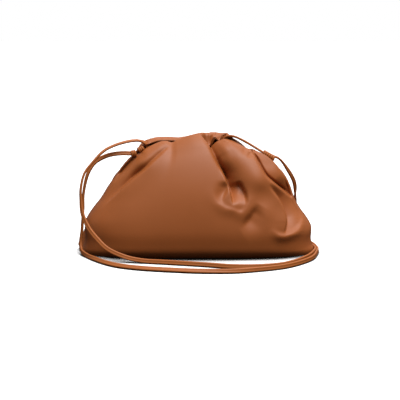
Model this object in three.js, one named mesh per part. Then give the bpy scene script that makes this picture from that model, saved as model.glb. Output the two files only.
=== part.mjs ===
// A small soft leather pouch bag, gathered into a slit of a mouth, with one long thin leather strap.
// Millimetres, +Z up, +X to the right seen from the front, the front facing -Y.
// The origin is on the surface that the bag rests on, under the middle of the bag.
import * as THREE from "three";

// Driving dimensions of the leather body
const bagWidth = 224; // from corner ear to corner ear
const bagHeight = 115; // to the highest gather of the rim
const bagDepth = 78; // front belly to back belly
const shoulderHeight = 92; // where the side seams end and the mouth begins
const leatherWall = 1.8;
const mouthGap = 6; // clear slit between the two rims
const seamGap = 0.3; // between the two panels where they are sewn
const earLift = 1.2; // how far the corner ears stand off the surface
const rimHold = 0.3; // share of a fold's depth that is left at the rim, which a stiff edge holds out
const gatherDepth = 6; // how fast the rim's gathers fade below it: a higher power of the height fades sooner

// Driving dimensions of the strap and its knots
const strapWidth = 4.5;
const strapThickness = 2.2;
const rightBarrelLength = 13.5;
const rightBarrelDiameter = 6.4;
const rightBarrelWraps = 3;
const leftBarrelLength = 7;
const leftBarrelDiameter = 5.4;
const leftBarrelWraps = 2;
const stopperLength = 5.6;
const stopperDiameter = 6.6;
const stopperWraps = 2;
const wrapGroove = 0.7; // depth of the grooves between the wraps of a knot

// Fineness of the meshes
const panelStations = 42; // columns from the left side seam to the right one
const sectionRows = 22; // rows from the rim to where the leather meets the surface
const floorRows = 3; // rows from there to the seam under the bag
const strapSides = 8;
const knotSides = 12;
const pathSamples = 24; // points taken along each fold

const leather = { color: 0x96522a, roughness: 0.55, metalness: 0 };
const strapLeather = { color: 0xa55a2c, roughness: 0.5, metalness: 0 };
const knotLeather = { color: 0xa05a30, roughness: 0.5, metalness: 0 };

const halfWidth = bagWidth / 2;
const halfDepth = bagDepth / 2;
const seamLip = seamGap / 2 + leatherWall;

// Side outline seen from the front. Heights are shares of the shoulder's, reaches shares of half the width.
const outline = [
  { height: 0.0, left: 1.0, right: 1.0 },
  { height: 0.03, left: 0.995, right: 0.996 },
  { height: 0.08, left: 0.98, right: 0.98 },
  { height: 0.14, left: 0.972, right: 0.974 },
  { height: 0.25, left: 0.976, right: 0.976 },
  { height: 0.34, left: 0.96, right: 0.94 },
  { height: 0.45, left: 0.904, right: 0.876 },
  { height: 0.56, left: 0.836, right: 0.828 },
  { height: 0.7, left: 0.768, right: 0.79 },
  { height: 0.82, left: 0.702, right: 0.744 },
  { height: 0.9, left: 0.66, right: 0.694 },
  { height: 0.96, left: 0.618, right: 0.612 },
  { height: 1.0, left: 0.568, right: 0.513 },
];

// Section of a panel from the rim's top edge to where the leather meets the surface.
// Depths are shares of the way from the rim to the belly, heights shares of the rim's height there.
const section = [
  { depth: 0.0, height: 1.0 },
  { depth: 0.09, height: 0.975 },
  { depth: 0.27, height: 0.905 },
  { depth: 0.47, height: 0.8 },
  { depth: 0.66, height: 0.66 },
  { depth: 0.82, height: 0.51 },
  { depth: 0.94, height: 0.36 },
  { depth: 1.0, height: 0.23 },
  { depth: 0.985, height: 0.13 },
  { depth: 0.93, height: 0.055 },
  { depth: 0.76, height: 0.0 },
];

// Height of the body's plain arch above the surface, as shares of the bag's height, at places across the
// mouth that run from -1 at the left shoulder to 1 at the right one. The shoulders themselves are shared.
const plainArch = [
  { across: -0.7, height: 0.9 },
  { across: -0.3, height: 0.955 },
  { across: 0.05, height: 0.98 },
  { across: 0.45, height: 0.955 },
  { across: 0.75, height: 0.89 },
];

// Height of each rim the same way, with its own gathers
const frontRim = [
  { across: -0.85, height: 0.845 },
  { across: -0.74, height: 0.887 },
  { across: -0.55, height: 0.932 },
  { across: -0.455, height: 0.94 },
  { across: -0.36, height: 0.922 },
  { across: -0.28, height: 0.947 },
  { across: -0.09, height: 0.983 },
  { across: 0.02, height: 0.992 },
  { across: 0.08, height: 0.987 },
  { across: 0.133, height: 0.965 },
  { across: 0.172, height: 0.932 },
  { across: 0.22, height: 0.875 },
  { across: 0.27, height: 0.9 },
  { across: 0.33, height: 0.928 },
  { across: 0.39, height: 0.945 },
  { across: 0.46, height: 0.957 },
  { across: 0.58, height: 0.943 },
  { across: 0.67, height: 0.92 },
  { across: 0.83, height: 0.868 },
  { across: 0.93, height: 0.842 },
];
const backRim = [
  { across: -0.85, height: 0.882 },
  { across: -0.77, height: 0.917 },
  { across: -0.7, height: 0.94 },
  { across: -0.57, height: 0.961 },
  { across: -0.2, height: 0.963 },
  { across: -0.09, height: 0.972 },
  { across: 0.02, height: 0.99 },
  { across: 0.15, height: 1.0 },
  { across: 0.33, height: 0.996 },
  { across: 0.44, height: 0.99 },
  { across: 0.52, height: 0.981 },
  { across: 0.58, height: 0.962 },
  { across: 0.66, height: 0.92 },
  { across: 0.79, height: 0.86 },
];

// A fold, seen from the front. Its path's points are shares of half the width and of the bag's height.
// Depth is a share of half the bag's depth, and is negative on a raised fold. Left and right are how far
// the fold reaches to either side of its path, as shares of half the width. Start and end are the
// stretches of the path over which it fades in and out, as shares of the path.
function fold(path, depth, left, right, start = 0, end = 0.5) {
  return { path, depth, left, right, start, end };
}

const leftCrevice = [[-0.49, 0.842], [-0.54, 0.803], [-0.609, 0.74], [-0.677, 0.675], [-0.735, 0.61]];
const longCrease = [[-0.245, 0.905], [-0.386, 0.793], [-0.512, 0.681], [-0.667, 0.544], [-0.747, 0.473]];
const deepHollow = [[0.122, 0.87], [0.177, 0.76], [0.236, 0.64], [0.27, 0.57]];
const hollowBranch = [[0.29, 0.68], [0.343, 0.612], [0.376, 0.549], [0.392, 0.463]];
const hollowEdge = [[0.1, 0.605], [0.12, 0.53], [0.167, 0.464], [0.29, 0.405], [0.4, 0.415], [0.426, 0.56]];
const shortValley = [[0.53, 0.47], [0.485, 0.375], [0.39, 0.29]];
const rightCrevice = [[0.463, 0.857], [0.538, 0.73], [0.65, 0.604], [0.827, 0.46]];
const secondCrease = [[0.597, 0.602], [0.674, 0.493], [0.735, 0.37], [0.741, 0.24]];
const creaseEdge = [[0.6, 0.25], [0.671, 0.2], [0.804, 0.204], [0.898, 0.298], [0.884, 0.375]];
const frontFolds = [
  fold(leftCrevice, 0.12, 0.05, 0.05, 0, 0.4), // parts the outer strip under the left shoulder
  fold(longCrease, 0.2, 0.08, 0.05, 0.3, 0.5), // from the left of the rim to the left side
  fold(deepHollow, 0.36, 0.05, 0.09, 0.6, 0.4), // under the notch in the middle of the rim
  fold(hollowBranch, 0.1, 0.07, 0.05, 0.4, 0.5),
  fold(hollowEdge, -0.04, 0.06, 0.05, 0.35, 0.35), // raised round the hollow's lower end
  fold(shortValley, 0.08, 0.05, 0.06, 0.5, 0.5),
  fold(rightCrevice, 0.16, 0.05, 0.13, 0, 0.25), // from the right end of the mouth, beside the outer roll
  fold(secondCrease, 0.16, 0.05, 0.06, 0.5, 0.3),
  fold(creaseEdge, -0.05, 0.05, 0.05, 0.25, 0.35), // raised round the second crease's lower end
];

// Folds of the back, seen through the bag from the front
const backFolds = [
  fold([[-0.42, 0.93], [-0.52, 0.78], [-0.66, 0.6], [-0.76, 0.42]], 0.14, 0.05, 0.08),
  fold([[-0.16, 0.95], [-0.2, 0.76], [-0.28, 0.56]], 0.17, 0.07, 0.05, 0, 0.6),
  fold([[0.1, 0.98], [0.09, 0.8], [0.13, 0.62], [0.1, 0.44]], 0.22, 0.08, 0.05, 0, 0.55),
  fold([[0.27, 0.97], [0.36, 0.8], [0.5, 0.6], [0.58, 0.42]], 0.18, 0.05, 0.08),
  fold([[0.44, 0.86], [0.6, 0.72], [0.74, 0.54]], 0.12, 0.05, 0.05),
  fold([[-0.36, 0.3], [-0.18, 0.24], [0.04, 0.27]], -0.05, 0.07, 0.07, 0.4, 0.4),
];

// Soft swellings of the front, as centres, radii and heights in the same shares as the folds
const frontSwells = [
  { at: [-0.05, 0.6], radius: 0.3, height: 0.07 },
  { at: [0.2, 0.92], radius: 0.07, height: 0.1 },
  { at: [0.42, 0.74], radius: 0.16, height: 0.08 },
  { at: [0.292, 0.52], radius: 0.06, height: 0.05 },
  { at: [0.7, 0.66], radius: 0.11, height: 0.08 },
  { at: [-0.45, 0.8], radius: 0.1, height: 0.06 },
  { at: [0.54, 0.37], radius: 0.08, height: 0.05 },
];
const backSwells = [
  { at: [-0.02, 0.62], radius: 0.16, height: 0.07 },
  { at: [0.28, 0.6], radius: 0.16, height: 0.07 },
  { at: [-0.45, 0.52], radius: 0.22, height: 0.06 },
];

// Route of the strap, chosen by hand: where its middle lies, and which way its flat side faces.
const strapFrontRoute = [
  { at: [-47.8, 1, 99.6], face: [0.5, -1, 0.1] },
  { at: [-48.4, 1, 103.8], face: [0.6, -0.8, 0.4] },
  { at: [-54.8, -1.3, 107.6], face: [0, -0.3, 1] },
  { at: [-62.2, -4, 108], face: [0, -0.3, 1] },
  { at: [-77.7, -8, 104.1], face: [-0.4, -0.3, 1] },
  { at: [-88.5, -12, 99.1], face: [-0.5, -0.3, 1] },
  { at: [-100.1, -16, 87.6], face: [-0.8, 0, 0.8] },
  { at: [-106.4, -19, 78.9], face: [-1, -0.1, 0.5] },
  { at: [-110.4, -22, 64.7], face: [-1, -0.3, 0.1] },
  { at: [-109.9, -24, 55], face: [-1, -0.6, 0] },
  { at: [-107.8, -28, 42.8], face: [-0.7, -1, 0] },
  { at: [-101.7, -34, 30.8], face: [-0.4, -1, 0] },
  { at: [-93, -42, 21.8], face: [-0.2, -1, 0.1] },
  { at: [-83.1, -48, 13.5], face: [-0.1, -1, 0.2] },
  { at: [-66, -50, 5.5], face: [0, -1, 0.25] },
  { at: [-50, -53, 2.6], face: [0.1, -1, 0.25] },
  { at: [-32.2, -57, 2.5], face: [0, -1, 0.25] },
  { at: [7.4, -67.2, 2.5], face: [-0.2, -1, 0.25] },
  { at: [30.8, -74, 2.5], face: [-0.1, -1, 0.25] },
  { at: [54.3, -74, 2.5], face: [0.2, -1, 0.25] },
  { at: [78.6, -65.5, 2.5], face: [0.5, -1, 0.2] },
  { at: [101.5, -37.5, 2.5], face: [1, -0.8, 0.1] },
  { at: [111, -14, 2.5], face: [1, -0.3, 0.1] },
  { at: [113.8, -1, 2.5], face: [1, 0, 0.1] },
  { at: [112.9, 9, 2.5], face: [1, 0.2, 0.1] },
  { at: [109.6, 22, 2.5], face: [1, 0.6, 0] },
  { at: [103.5, 35.5, 4], face: [0.6, 1, 0] },
  { at: [98.5, 42, 14], face: [0.3, 1, 0] },
  { at: [97, 38, 31], face: [0.4, 1, 0.2] },
  { at: [96.1, 30, 48.4], face: [1, 0.2, 0.2] },
  { at: [95.6, 26, 57.7], face: [0.7, -0.8, 0.2] },
  { at: [94.1, 22.5, 64.7], face: [0.5, -1, 0.3] },
  { at: [90.6, 18, 72], face: [0.5, -1, 0.4] },
  { at: [85.7, 12.5, 79.8], face: [0.6, -0.8, 0.7] },
  { at: [80.6, 6.6, 87], face: [0.6, -0.3, 1] },
  { at: [77.8, 4, 89.9], face: [0.5, 0, 0.9] },
  { at: [75.7, 3.2, 91.3], face: [0.45, 0, 0.9] },
];
const strapRearRoute = [
  { at: [-65.2, -4.2, 97], face: [0, -1, 0.4] },
  { at: [-72.6, -4.6, 96.6], face: [0, -1, 0.4] },
  { at: [-83.6, -5, 94.8], face: [-0.1, -1, 0.4] },
  { at: [-91.9, -5, 91.6], face: [-0.2, -1, 0.3] },
  { at: [-98.5, -5, 86.5], face: [-0.5, -1, 0.3] },
  { at: [-104, -6, 76.3], face: [-1, -0.8, 0.2] },
  { at: [-108.3, -7.5, 57.5], face: [-1, -0.4, 0] },
  { at: [-110, -8, 44.3], face: [-1, -0.3, 0] },
  { at: [-111.8, -8, 34], face: [-1, -0.4, 0] },
  { at: [-113.2, -8, 22], face: [-1, -0.5, 0] },
  { at: [-114.2, -9.5, 11], face: [-1, -0.6, 0] },
  { at: [-112.8, -15, 4.6], face: [-1, -0.6, 0] },
  { at: [-106, -28.5, 2.5], face: [-1, -0.9, 0.1] },
  { at: [-96.8, -45.4, 2.5], face: [-1, -1, 0.2] },
  { at: [-86, -60.5, 2.5], face: [-0.8, -1, 0.2] },
  { at: [-73.4, -73, 2.5], face: [-0.5, -1, 0.2] },
  { at: [-54.1, -83.9, 2.5], face: [-0.3, -1, 0.2] },
  { at: [-23, -91.4, 2.5], face: [-0.1, -1, 0.2] },
  { at: [0.1, -93.6, 2.5], face: [0, -1, 0.2] },
  { at: [30.3, -92, 2.5], face: [0.2, -1, 0.2] },
  { at: [52, -86, 2.5], face: [0.3, -1, 0.2] },
  { at: [80, -72.5, 2.5], face: [0.6, -1, 0.2] },
  { at: [105.5, -42, 2.5], face: [1, -0.8, 0.1] },
  { at: [114, -16.5, 2.5], face: [1, -0.3, 0.1] },
  { at: [116.5, -2, 2.5], face: [1, 0, 0.1] },
  { at: [115.6, 10, 2.5], face: [1, 0.2, 0.1] },
  { at: [112, 25, 2.5], face: [1, 0.6, 0] },
  { at: [104, 42, 2.6], face: [0.6, 1, 0] },
  { at: [91, 49, 5.5], face: [0, 1, 0.1] },
  { at: [82.5, 48.5, 17], face: [-0.1, 1, 0.2] },
  { at: [79, 43, 34], face: [0, 1, 0.3] },
  { at: [76.5, 34, 53], face: [0.1, 1, 0.4] },
  { at: [75, 25, 67], face: [0.3, 1, 0.6] },
  { at: [74, 15.5, 78], face: [0.4, 0.8, 0.8] },
  { at: [75.4, 10.2, 82.6], face: [0.5, 0.4, 1] },
  { at: [76, 6.2, 85.8], face: [0.45, 0, 0.9] },
  { at: [75, 3.9, 87.7], face: [0.45, 0, 0.9] },
];
const strapTipRoute = [
  { at: [61, 3.2, 96.8], face: [0.5, 0, 0.85] },
  { at: [54.6, 3.8, 100.6], face: [0.55, 0, 0.85] },
  { at: [47.4, 3.4, 105], face: [0.55, 0, 0.85] },
  { at: [40.2, 1.9, 109], face: [0.35, 0, 1] },
  { at: [34.2, 0.3, 111.8], face: [0.1, 0.2, 1] },
  { at: [28.8, -0.2, 111.8], face: [-0.3, 0.6, 0.6] },
  { at: [25.4, 0.2, 109], face: [0, 1, 0] },
  { at: [24, 0.2, 103.5], face: [0, 1, 0] },
];

// Knots on the strap: the middle of each and the line that it is wound round
const knots = [
  {
    name: "left_barrel_knot",
    at: [-55.1, -1.8, 100.7],
    along: [1, 0.1, 0.45],
    length: leftBarrelLength,
    diameter: leftBarrelDiameter,
    wraps: leftBarrelWraps,
  },
  {
    name: "left_stopper_knot",
    at: [-61.8, -4.2, 97.4],
    along: [1, 0.06, 0.15],
    length: stopperLength,
    diameter: stopperDiameter,
    wraps: stopperWraps,
  },
  {
    name: "right_barrel_knot",
    at: [68, 3.2, 92.8],
    along: [1, 0, -0.55],
    length: rightBarrelLength,
    diameter: rightBarrelDiameter,
    wraps: rightBarrelWraps,
  },
];

const smooth = (low, high, value) => THREE.MathUtils.smoothstep(value, low, high);

// A value read from a table at a place along one of its columns, on a smooth curve through the rows
function readTable(rows, along, column, place) {
  let k = 0;
  while (k < rows.length - 2 && rows[k + 1][along] < place) k += 1;
  const before = rows[Math.max(k - 1, 0)];
  const low = rows[k];
  const high = rows[k + 1];
  const after = rows[Math.min(k + 2, rows.length - 1)];
  const span = high[along] - low[along];
  const t = THREE.MathUtils.clamp((place - low[along]) / span, 0, 1);
  const slopeLow = ((high[column] - before[column]) / (high[along] - before[along])) * span;
  const slopeHigh = ((after[column] - low[column]) / (after[along] - low[along])) * span;
  const t2 = t * t;
  const t3 = t2 * t;
  return (
    (2 * t3 - 3 * t2 + 1) * low[column] +
    (t3 - 2 * t2 + t) * slopeLow +
    (3 * t2 - 2 * t3) * high[column] +
    (t3 - t2) * slopeHigh
  );
}

// A table of heights across the mouth, with the two shoulders added at its ends
function rimWithShoulders(rim) {
  const shoulder = shoulderHeight / bagHeight;
  return [{ across: -1, height: shoulder }, ...rim, { across: 1, height: shoulder }];
}

// The section as a smooth line of depth and height shares
const sectionLine = new THREE.SplineCurve(section.map((row) => new THREE.Vector2(row.depth, row.height)));

// A fold's path as evenly spaced points in millimetres, seen from the front
function foldLine(fold) {
  const points = fold.path.map(([x, z]) => new THREE.Vector2(x * halfWidth, z * bagHeight));
  const curve = points.length > 2 ? new THREE.SplineCurve(points) : new THREE.LineCurve(...points);
  return curve.getPoints(pathSamples);
}

// How far a fold moves the leather in at a place seen from the front
function foldDepth(fold, line, x, z) {
  let nearest = Infinity;
  let signed = 0;
  let place = 0;
  for (let k = 0; k < line.length - 1; k += 1) {
    const a = line[k];
    const b = line[k + 1];
    const dx = b.x - a.x;
    const dz = b.y - a.y;
    const t = THREE.MathUtils.clamp(((x - a.x) * dx + (z - a.y) * dz) / (dx * dx + dz * dz), 0, 1);
    const ex = x - a.x - t * dx;
    const ez = z - a.y - t * dz;
    const gap = Math.hypot(ex, ez);
    if (gap < nearest) {
      nearest = gap;
      signed = dx * ez - dz * ex;
      place = (k + t) / (line.length - 1);
    }
  }
  // Going down a path, its left side seen from the front has the negative cross product
  const reach = (signed > 0 ? fold.right : fold.left) * halfWidth;
  const across = Math.exp(-((nearest / reach) ** 2));
  const fadeIn = fold.start > 0 ? smooth(0, fold.start, place) : 1;
  const fadeOut = smooth(0, fold.end, 1 - place);
  return fold.depth * halfDepth * across * fadeIn * fadeOut;
}

// A panel of leather: side is -1 at the front and 1 at the back
function panelMesh(side, rimRows, folds, swells) {
  const rim = rimWithShoulders(rimRows);
  const arch = rimWithShoulders(plainArch);
  const lines = folds.map(foldLine);
  const lastRow = sectionRows + floorRows;
  const outer = [];
  for (let i = 0; i <= panelStations; i += 1) {
    const even = -1 + (2 * i) / panelStations;
    const station = 0.72 * even + 0.28 * Math.sin((even * Math.PI) / 2);
    const nearSide = Math.abs(station);
    const rimOut = seamLip + (mouthGap / 2 + leatherWall - seamLip) * Math.sqrt(1 - nearSide ** 10);
    const belly = seamLip + (halfDepth - seamLip) * (1 - nearSide ** 4) ** 0.6;
    const top = readTable(rim, "across", "height", station) * bagHeight;
    const plain = readTable(arch, "across", "height", station) * bagHeight;
    const bottom = earLift * smooth(0.92, 1, nearSide);
    const column = [];
    for (let j = 0; j <= sectionRows; j += 1) {
      const row = sectionLine.getPoint(j / sectionRows);
      const share = Math.max(row.y, 0);
      const left = readTable(outline, "height", "left", share);
      const right = readTable(outline, "height", "right", share);
      const x = (((right - left) + station * (right + left)) / 2) * halfWidth;
      const z = bottom + (plain - bottom) * share + (top - plain) * share ** gatherDepth;
      let out = rimOut + (belly - rimOut) * Math.max(row.x, 0);
      let moved = 0;
      folds.forEach((fold, n) => {
        moved += foldDepth(fold, lines[n], x, z);
      });
      for (const swell of swells) {
        const away = Math.hypot(x - swell.at[0] * halfWidth, z - swell.at[1] * bagHeight);
        moved -= swell.height * halfDepth * Math.exp(-((away / (swell.radius * halfWidth)) ** 2));
      }
      const held = rimHold + (1 - rimHold) * smooth(0, 0.16, 1 - share);
      const free = smooth(0, 0.12, share) * smooth(0, 0.1, 1 - nearSide) * held;
      out = Math.max(out - moved * free, seamLip);
      column.push(new THREE.Vector3(x, out, z));
    }
    const edge = column[sectionRows];
    edge.z = bottom;
    for (let j = 1; j <= floorRows; j += 1) {
      const share = j / floorRows;
      column.push(new THREE.Vector3(edge.x, edge.y + (seamGap / 2 - edge.y) * share, bottom));
    }
    outer.push(column);
  }

  // The belly of each panel reaches just half the bag's depth
  const seam = seamGap / 2;
  const deepest = Math.max(...outer.flat().map((p) => p.y));
  const reach = (halfDepth - seam) / (deepest - seam);
  for (const column of outer) {
    column.forEach((p, j) => {
      p.y = seam + (p.y - seam) * reach;
      if (j <= sectionRows) p.y = Math.max(p.y, seamLip);
    });
  }

  // The inner face lies one wall inside the outer one
  const inner = outer.map((column, i) =>
    column.map((p, j) => {
      const alongX = outer[Math.min(i + 1, panelStations)][j].clone().sub(outer[Math.max(i - 1, 0)][j]);
      const alongZ = column[Math.min(j + 1, lastRow)].clone().sub(column[Math.max(j - 1, 0)]);
      const inward = alongZ.cross(alongX).normalize();
      if (j > sectionRows) inward.set(0, 0, 1);
      const q = p.clone().addScaledVector(inward, leatherWall);
      q.y = Math.max(q.y, seamGap / 2);
      if (j >= sectionRows) q.z = p.z + leatherWall;
      if (i === 0 || i === panelStations) {
        // At the side seam the two faces lie flat on each other, and under it their points step in
        const risen = (p.z - column[lastRow].z) / (column[0].z - column[lastRow].z);
        const under = Math.max(j - sectionRows, 0) / floorRows;
        q.set(p.x - Math.sign(p.x) * seamGap * under, seamGap / 2, p.z + leatherWall * (1 - risen));
      }
      return q;
    }),
  );

  // Each station's loop: down the outer face, up the inner face, and over the rounded rim
  const loops = outer.map((column, i) => {
    const rimTop = column[0].clone().add(inner[i][0]).multiplyScalar(0.5);
    rimTop.z += leatherWall / 2;
    return [...column, ...inner[i].slice().reverse(), rimTop];
  });
  const size = 2 * (lastRow + 1) + 1;
  const positions = loops.flat().flatMap((p) => [p.x, side * p.y, p.z]);
  const faces = [];
  const quad = (a, b, c, d) => faces.push(a, b, c, a, c, d);
  for (let i = 0; i < panelStations; i += 1)
    for (let k = 0; k < size; k += 1) {
      const next = (k + 1) % size;
      quad(i * size + k, i * size + next, (i + 1) * size + next, (i + 1) * size + k);
    }
  for (const i of [0, panelStations]) {
    const at = (k) => i * size + k;
    const turned = i === 0;
    const cap = (...ring) => quad(...(turned ? ring.reverse() : ring));
    for (let j = 0; j < lastRow; j += 1) cap(at(j), at(j + 1), at(size - 3 - j), at(size - 2 - j));
    const peak = [at(0), at(size - 2), at(size - 1)];
    faces.push(...(turned ? peak.reverse() : peak));
  }
  if (side > 0) faces.reverse();
  const geometry = new THREE.BufferGeometry();
  geometry.setAttribute("position", new THREE.Float32BufferAttribute(positions, 3));
  geometry.setIndex(faces);
  geometry.computeVertexNormals();
  return geometry;
}

// A curve through the strap's route whose frames keep the flat side facing the way that the route says
class StrapPath extends THREE.CatmullRomCurve3 {
  constructor(route) {
    super(route.map((row) => new THREE.Vector3(...row.at)), false, "centripetal");
    this.facing = new THREE.CatmullRomCurve3(
      route.map((row) => new THREE.Vector3(...row.face).normalize()),
      false,
      "centripetal",
    );
  }
  computeFrenetFrames(segments) {
    const frames = { tangents: [], normals: [], binormals: [] };
    for (let k = 0; k <= segments; k += 1) {
      const share = k / segments;
      const tangent = this.getTangentAt(share);
      const facing = this.facing.getPoint(this.getUtoTmapping(share));
      const across = new THREE.Vector3().crossVectors(tangent, facing).normalize();
      frames.tangents.push(tangent);
      frames.normals.push(new THREE.Vector3().crossVectors(across, tangent));
      frames.binormals.push(across);
    }
    return frames;
  }
}

// The strap's cross-section, thin along the way it faces
function strapSection() {
  const shape = new THREE.Shape();
  for (let k = 0; k < strapSides; k += 1) {
    const turn = ((k + 0.5) / strapSides) * 2 * Math.PI;
    const flat = Math.cos(turn);
    const edge = Math.sin(turn);
    const square = 1 / Math.cos(Math.PI / strapSides);
    const x = (flat * square * strapThickness) / 2;
    const y = (edge * square * strapWidth) / 2;
    if (k === 0) shape.moveTo(x, y);
    else shape.lineTo(x, y);
  }
  shape.closePath();
  return shape;
}

function strapMesh(route) {
  const path = new StrapPath(route);
  const steps = Math.min(80, Math.round(path.getLength() / (2.2 * strapWidth)));
  return new THREE.ExtrudeGeometry(strapSection(), { steps, extrudePath: path, curveSegments: 1 });
}

// A knot: a turned body with a round wrap for each turn of the strap
function knotMesh(knot) {
  const profile = [new THREE.Vector2(0, -knot.length / 2)];
  const stepsPerWrap = 4;
  const rings = knot.wraps * stepsPerWrap;
  for (let k = 0; k <= rings; k += 1) {
    const place = k / rings;
    const wrap = Math.abs(Math.sin(place * knot.wraps * Math.PI));
    const endRound = Math.min(1, 0.72 + 2.4 * Math.min(place, 1 - place));
    const radius = (knot.diameter / 2 - wrapGroove * (1 - wrap)) * endRound;
    profile.push(new THREE.Vector2(radius, (place - 0.5) * knot.length));
  }
  profile.push(new THREE.Vector2(0, knot.length / 2));
  const geometry = new THREE.LatheGeometry(profile, knotSides);
  const along = new THREE.Vector3(...knot.along).normalize();
  geometry.applyQuaternion(new THREE.Quaternion().setFromUnitVectors(new THREE.Vector3(0, 1, 0), along));
  geometry.translate(...knot.at);
  return geometry;
}

const bag = new THREE.Group();

function addPiece(name, geometry, finish) {
  const mesh = new THREE.Mesh(geometry, new THREE.MeshStandardMaterial(finish));
  mesh.name = name;
  bag.add(mesh);
}

addPiece("front_panel", panelMesh(-1, frontRim, frontFolds, frontSwells), leather);
addPiece("back_panel", panelMesh(1, backRim, backFolds, backSwells), leather);
addPiece("strap_front", strapMesh(strapFrontRoute), strapLeather);
addPiece("strap_rear", strapMesh(strapRearRoute), strapLeather);
addPiece("strap_tip", strapMesh(strapTipRoute), strapLeather);
for (const knot of knots) addPiece(knot.name, knotMesh(knot), knotLeather);

export default bag;
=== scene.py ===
# %% [markdown]
# # A soft leather pouch bag
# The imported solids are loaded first, as a fixed frame. They give each piece its place and its size, and
# the pieces that are modelled below take their places. Sizes are in millimetres until a mesh is filled.

# %% Load the frame
import math

import bmesh
import bpy
import numpy as np
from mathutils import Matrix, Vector


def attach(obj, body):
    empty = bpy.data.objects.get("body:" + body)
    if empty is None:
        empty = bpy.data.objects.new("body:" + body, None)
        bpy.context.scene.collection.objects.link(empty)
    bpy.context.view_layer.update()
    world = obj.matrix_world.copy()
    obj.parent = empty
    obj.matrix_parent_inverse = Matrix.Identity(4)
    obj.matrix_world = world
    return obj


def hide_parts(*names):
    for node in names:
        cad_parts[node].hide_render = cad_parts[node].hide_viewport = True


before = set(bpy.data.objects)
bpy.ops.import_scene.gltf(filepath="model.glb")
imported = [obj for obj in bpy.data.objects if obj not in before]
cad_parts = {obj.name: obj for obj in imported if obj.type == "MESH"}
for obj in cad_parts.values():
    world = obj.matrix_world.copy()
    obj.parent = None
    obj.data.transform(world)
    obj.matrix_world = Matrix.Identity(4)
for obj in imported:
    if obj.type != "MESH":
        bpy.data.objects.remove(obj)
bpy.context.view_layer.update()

MM = 0.001

# %% [markdown]
# ## Camera, floor and light
# The bag was photographed with a long lens, a little from above, on a pale floor that fades into a pale
# background. A long lens far away keeps both ends of the bag the same size. The light is one large soft
# source high over the front and a little to the right, with a weak one behind and a dim room all round, so
# the folds shade gently. Area lights would do too, but these light the whole floor evenly.

# %% Camera
IMAGE_WIDE = 400
SENSOR_MM = 36.0
LENS_MM = 100.0
CAMERA_FAR = 1070.0
CAMERA_LIFT = math.radians(10)
LOOK_AT = Vector((1.9, 0.0, 50.3))

camera_data = bpy.data.cameras.new("camera")
camera_data.lens = LENS_MM
camera_data.sensor_width = SENSOR_MM
camera_data.clip_end = 20
camera = bpy.data.objects.new("camera", camera_data)
bpy.context.scene.collection.objects.link(camera)
away = Vector((0, -math.cos(CAMERA_LIFT), math.sin(CAMERA_LIFT)))
camera.location = (LOOK_AT + away * CAMERA_FAR) * MM
camera.rotation_euler = (math.pi / 2 - CAMERA_LIFT, 0, 0)
bpy.context.scene.camera = camera
print("millimetres to a pixel:", CAMERA_FAR * SENSOR_MM / LENS_MM / IMAGE_WIDE)


# %% Helpers for materials
def add_node(tree, kind, settings=None, inputs=None, links=None):
    """A node with its settings, the values of its inputs, and what is plugged into them."""
    node = tree.nodes.new(kind)
    for name, value in (settings or {}).items():
        setattr(node, name, value)
    for name, value in (inputs or {}).items():
        node.inputs[name].default_value = value
    for name, source in (links or {}).items():
        tree.links.new(source, node.inputs[name])
    return node


def colour(code):
    """An sRGB hex colour as linear red, green, blue and alpha."""
    parts = [int(code[k:k + 2], 16) / 255 for k in (0, 2, 4)]
    linear = [c / 12.92 if c <= 0.04045 else ((c + 0.055) / 1.055) ** 2.4 for c in parts]
    return (*linear, 1.0)


def new_material(name):
    """A material, its nodes and its shader."""
    material = bpy.data.materials.new(name)
    material.use_nodes = True
    shader = material.node_tree.nodes["Principled BSDF"]
    return material, material.node_tree, shader


# %% [markdown]
# ## White floor
# The floor is white paper under bright light, so the camera sees it almost burnt out. Close under the bag a
# dark line of shadow is painted into the paper's colour, where an occlusion node finds the bag near. The
# floor is darker to everything but the camera, because the real bag gets little light from below.

# %% White floor
FLOOR_SIZE = 6.0
SHADOW_REACH = 0.03
SHADOW_DARK, SHADOW_GONE = 0.5, 0.7

# The sockets of a Mix node that hold its two colours and the mixed one
FIRST, SECOND, MIXED = 6, 7, 2


def white_floor():
    """Matt paper: bright to the camera with a painted shadow near the bag, and dim in what it throws back."""
    material, tree, shader = new_material("matt_white_paper")
    open_sky = add_node(tree, "ShaderNodeAmbientOcclusion", {"samples": 16}, {"Distance": SHADOW_REACH})
    lit = add_node(tree, "ShaderNodeMapRange", inputs={"From Min": SHADOW_DARK, "From Max": SHADOW_GONE},
                   links={"Value": open_sky.outputs["AO"]})
    # Painted shadow: the paper's colour runs to near black where the occlusion node finds the bag close
    bright = add_node(tree, "ShaderNodeMix", {"data_type": "RGBA"},
                      {FIRST: colour("0a0706"), SECOND: colour("fbfbfb")}, {"Factor": lit.outputs["Result"]})
    seen = add_node(tree, "ShaderNodeLightPath").outputs["Is Camera Ray"]
    paper = add_node(tree, "ShaderNodeMix", {"data_type": "RGBA"}, {FIRST: colour("2a2625")},
                     {"Factor": seen, SECOND: bright.outputs[MIXED]})
    tree.links.new(paper.outputs[MIXED], shader.inputs["Base Color"])
    shader.inputs["Roughness"].default_value = 0.9
    shader.inputs["Specular IOR Level"].default_value = 0.1
    mesh = bpy.data.meshes.new("floor")
    work = bmesh.new()
    bmesh.ops.create_grid(work, x_segments=1, y_segments=1, size=FLOOR_SIZE)
    work.to_mesh(mesh)
    work.free()
    mesh.materials.append(material)
    floor = bpy.data.objects.new("floor", mesh)
    bpy.context.scene.collection.objects.link(floor)


white_floor()


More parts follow.
